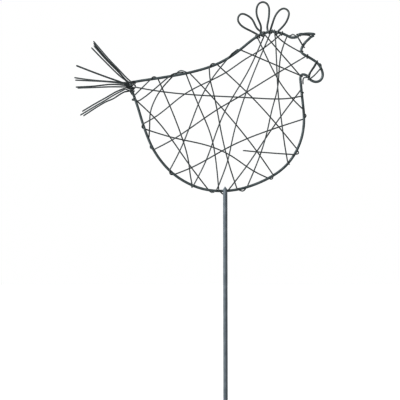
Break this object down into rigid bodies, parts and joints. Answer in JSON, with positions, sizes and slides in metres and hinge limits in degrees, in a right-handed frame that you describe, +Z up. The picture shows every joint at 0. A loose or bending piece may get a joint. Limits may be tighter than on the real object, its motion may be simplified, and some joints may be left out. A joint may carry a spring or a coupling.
{
  "type": "hen garden stake",
  "caption": "Garden stake: a flat hen bent from steel wire, its body wound with thin binding wire, on a straight rod that is pushed into the ground.",
  "frame": {"origin": "centre of the rod's flat lower end, where the stake goes into the ground", "axes": "+Z up along the rod, +X towards the hen's beak, -Y towards the viewer; the hen's plane lies behind the rod's axis"},
  "size_m": [0.2497, 0.0113, 0.3984],
  "materials": {
    "rod_steel": "drawn steel rod, dulled to a dark blue-grey",
    "thick_wire_steel": "annealed steel wire, matt slate grey",
    "thin_wire_steel": "annealed steel wire, matt grey with a slight green cast"
  },
  "bodies": {
    "root": {"stake_rod": "rod_steel", "outline_wire": "thick_wire_steel", "comb_wire": "thin_wire_steel", "tail_wire_1": "thin_wire_steel", "tail_wire_2": "thin_wire_steel", "tail_wire_3": "thin_wire_steel", "tail_wire_4": "thin_wire_steel", "tail_wire_5": "thin_wire_steel", "tail_wire_6": "thin_wire_steel", "binding_wire_1": "thin_wire_steel", "binding_wire_2": "thin_wire_steel", "binding_wire_3": "thin_wire_steel", "binding_wire_4": "thin_wire_steel", "binding_wire_5": "thin_wire_steel", "beak_tie_wire": "thin_wire_steel", "wattle_tie_wire": "thin_wire_steel"}
  },
  "joints": []
}
